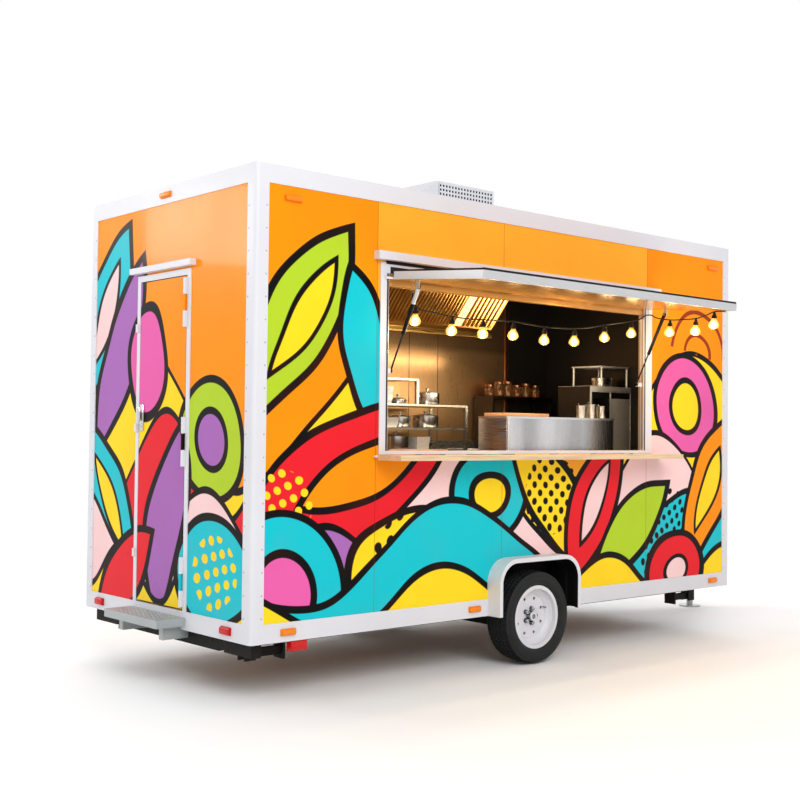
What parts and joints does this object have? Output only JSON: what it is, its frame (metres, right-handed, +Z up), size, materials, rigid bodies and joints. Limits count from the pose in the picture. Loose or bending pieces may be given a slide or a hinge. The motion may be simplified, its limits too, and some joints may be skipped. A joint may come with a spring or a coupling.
{
  "type": "food trailer",
  "caption": "Box-bodied food trailer on a single axle with a top-hinged serving hatch and fold-up shelf, rear door and step, drawbar with screw jack, roof vent, string lights and a kitchen",
  "frame": {"origin": "middle of the bounding box on the ground", "axes": "+X forward to the coupler, +Y to the left, +Z up; the serving hatch is on the right (-Y) side"},
  "size_m": [5.552, 2.6346, 3.064],
  "materials": {
    "white_paint": "gloss",
    "mural_panel": "gloss",
    "black_steel": "satin",
    "zinc_steel": "satin",
    "tyre_rubber": "matte",
    "plywood": "matte",
    "shelf_wood": "satin",
    "grey_step": "satin",
    "strut_black": "gloss",
    "strut_steel": "gloss",
    "amber_lens": "gloss",
    "red_lens": "gloss",
    "cord_black": "matte",
    "bulb_glass": "gloss",
    "stainless": "satin"
  },
  "bodies": {
    "trailer": {"chassis_frame": "black_steel", "cross_members": "black_steel", "drawbar": "black_steel", "coupler": "zinc_steel", "jack_tube": "black_steel", "axle_beam": "black_steel", "fender_left": "white_paint", "fender_right": "white_paint", "wheel_tubs": "black_steel", "floor_deck": "plywood", "wall_right": "mural_panel", "wall_left": "mural_panel", "wall_front": "mural_panel", "wall_rear": "mural_panel", "roof_panel": "white_paint", "corner_posts": "white_paint", "sill_rails": "white_paint", "roof_rails": "white_paint", "door_frame": "white_paint", "step_plate": "grey_step", "window_frame": "white_paint", "hatch_header": "white_paint", "roof_vent": "white_paint", "marker_lamps": "amber_lens", "tail_lamps": "red_lens", "back_counter": "stainless", "counter_legs": "stainless", "counter_shelf": "stainless", "front_unit": "stainless", "hood": "stainless", "shelf_rack": "stainless", "cabinet": "stainless", "jar_shelf": "stainless", "cookware": "stainless"},
    "hatch": {"hatch_panel": "white_paint", "light_cord": "cord_black", "light_bulbs": "bulb_glass"},
    "strut_tube_rear": {"strut_tube_rear": "strut_black"},
    "strut_rod_rear": {"strut_rod_rear": "strut_steel"},
    "strut_tube_front": {"strut_tube_front": "strut_black"},
    "strut_rod_front": {"strut_rod_front": "strut_steel"},
    "shelf": {"serving_shelf": "shelf_wood"},
    "door": {"door_leaf": "mural_panel", "door_lock": "zinc_steel"},
    "wheel_left": {"rim_left": "white_paint", "tyre_left": "tyre_rubber"},
    "wheel_right": {"rim_right": "white_paint", "tyre_right": "tyre_rubber"},
    "jack": {"jack_leg": "zinc_steel"},
    "steady_rr": {"steady_rr": "black_steel"},
    "steady_rl": {"steady_rl": "black_steel"},
    "steady_fr": {"steady_fr": "black_steel"},
    "steady_fl": {"steady_fl": "black_steel"}
  },
  "joints": [
    {"name": "hatch_hinge", "type": "hinge", "parent": "trailer", "child": "hatch", "pos_m": [-0.547, -0.59666, 2.274], "axis": [1, 0, 0], "range_deg": [0, 85.5]},
    {"name": "strut_rear_eye", "type": "hinge", "parent": "hatch", "child": "strut_tube_rear", "pos_m": [-1.652, -0.78278, 2.21722], "axis": [1, 0, 0], "range_deg": [-111.72, 0]},
    {"name": "strut_rear_rod", "type": "slide", "parent": "strut_tube_rear", "child": "strut_rod_rear", "axis": [0, -0.4472, 0.8944], "range_m": [0, 0.18754]},
    {"name": "strut_front_eye", "type": "hinge", "parent": "hatch", "child": "strut_tube_front", "pos_m": [0.558, -0.78278, 2.21722], "axis": [1, 0, 0], "range_deg": [-111.72, 0]},
    {"name": "strut_front_rod", "type": "slide", "parent": "strut_tube_front", "child": "strut_rod_front", "axis": [0, -0.4472, 0.8944], "range_m": [0, 0.18754]},
    {"name": "shelf_hinge", "type": "hinge", "parent": "trailer", "child": "shelf", "pos_m": [-0.491, -0.59666, 1.277], "axis": [-1, 0, 0], "range_deg": [0, 88]},
    {"name": "door_hinge", "type": "hinge", "parent": "trailer", "child": "door", "pos_m": [-2.61, 0.08184, 1.347], "axis": [0, 0, 1], "range_deg": [0, 110]},
    {"name": "wheel_left_spin", "type": "hinge", "parent": "trailer", "child": "wheel_left", "pos_m": [-0.521, 1.20134, 0.288], "axis": [0, 1, 0], "continuous": true},
    {"name": "wheel_right_spin", "type": "hinge", "parent": "trailer", "child": "wheel_right", "pos_m": [-0.521, -0.56666, 0.288], "axis": [0, 1, 0], "continuous": true},
    {"name": "jack_screw", "type": "slide", "parent": "trailer", "child": "jack", "axis": [0, 0, 1], "range_m": [0, 0.23]},
    {"name": "steady_rr_hinge", "type": "hinge", "parent": "trailer", "child": "steady_rr", "pos_m": [-2.446, -0.33266, 0.232], "axis": [0, 1, 0], "range_deg": [0, 90]},
    {"name": "steady_rl_hinge", "type": "hinge", "parent": "trailer", "child": "steady_rl", "pos_m": [-2.446, 0.96734, 0.232], "axis": [0, 1, 0], "range_deg": [0, 90]},
    {"name": "steady_fr_hinge", "type": "hinge", "parent": "trailer", "child": "steady_fr", "pos_m": [1.464, -0.33266, 0.232], "axis": [0, -1, 0], "range_deg": [0, 90]},
    {"name": "steady_fl_hinge", "type": "hinge", "parent": "trailer", "child": "steady_fl", "pos_m": [1.464, 0.96734, 0.232], "axis": [0, -1, 0], "range_deg": [0, 90]}
  ],
  "couplings": [
    {"joint": "strut_rear_eye", "follows": "hatch_hinge", "ratio": -1.3066},
    {"joint": "strut_rear_rod", "follows": "hatch_hinge", "m_per_rad": 0.12568},
    {"joint": "strut_front_eye", "follows": "hatch_hinge", "ratio": -1.3066},
    {"joint": "strut_front_rod", "follows": "hatch_hinge", "m_per_rad": 0.12568}
  ]
}
